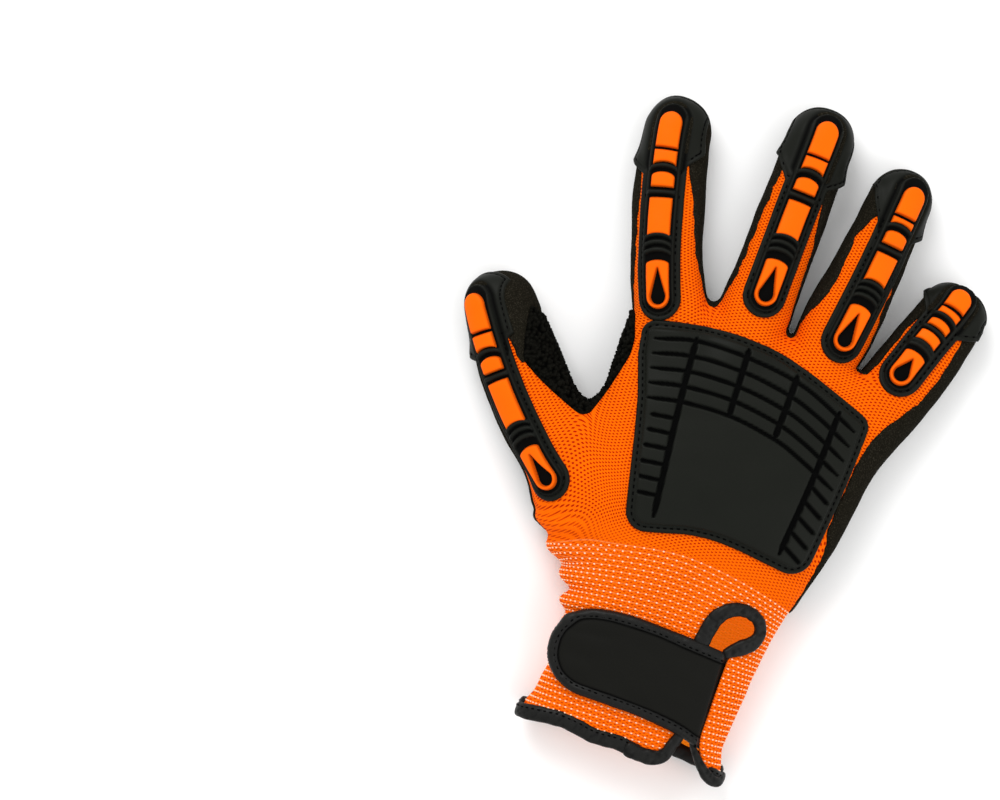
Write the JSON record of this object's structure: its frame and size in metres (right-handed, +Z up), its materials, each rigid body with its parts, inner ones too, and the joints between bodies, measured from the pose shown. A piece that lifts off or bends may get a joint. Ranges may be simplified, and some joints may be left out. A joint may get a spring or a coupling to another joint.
{
  "type": "impact work glove",
  "caption": "Right-hand impact work glove: hollow orange knit liner, dark dipped palm, black moulded guards with orange pads on back and fingers, keyhole slit and closing strap at the cuff",
  "frame": {"origin": "middle of the glove's footprint, on the surface that its palm lies on", "axes": "+Z up from the palm to the back of the hand, +Y from the cuff to the fingertips, +X from the thumb's side to the little finger's side"},
  "size_m": [0.1974, 0.2634, 0.0342],
  "materials": {
    "knit": "matte",
    "coating": "matte",
    "patch": "matte",
    "guard": "satin",
    "pad": "satin",
    "strap": "satin",
    "tape": "matte"
  },
  "bodies": {
    "root": {"palm_knit": "knit", "thumb_knit": "knit", "index_knit": "knit", "middle_knit": "knit", "ring_knit": "knit", "little_knit": "knit", "palm_coating": "coating", "thumb_coating": "coating", "index_coating": "coating", "middle_coating": "coating", "ring_coating": "coating", "little_coating": "coating", "crotch_patch": "patch", "back_guard": "guard", "thumb_guard": "guard", "index_guard": "guard", "middle_guard": "guard", "ring_guard": "guard", "little_guard": "guard", "thumb_pad_drop": "pad", "thumb_pad_long": "pad", "thumb_pad_joint": "pad", "thumb_pad_nail": "pad", "thumb_pad_tip": "pad", "index_pad_drop": "pad", "index_pad_long": "pad", "index_pad_joint": "pad", "index_pad_nail": "pad", "index_pad_tip": "pad", "middle_pad_drop": "pad", "middle_pad_long": "pad", "middle_pad_joint": "pad", "middle_pad_nail": "pad", "middle_pad_tip": "pad", "ring_pad_drop": "pad", "ring_pad_long": "pad", "ring_pad_joint": "pad", "ring_pad_nail": "pad", "ring_pad_tip": "pad", "little_pad_drop": "pad", "little_pad_long": "pad", "little_pad_joint": "pad", "little_pad_nail": "pad", "little_pad_tip": "pad", "strap": "strap", "strap_tape": "tape", "keyhole_tape": "tape", "flap_tape": "tape", "hem_tape": "tape"}
  },
  "joints": []
}
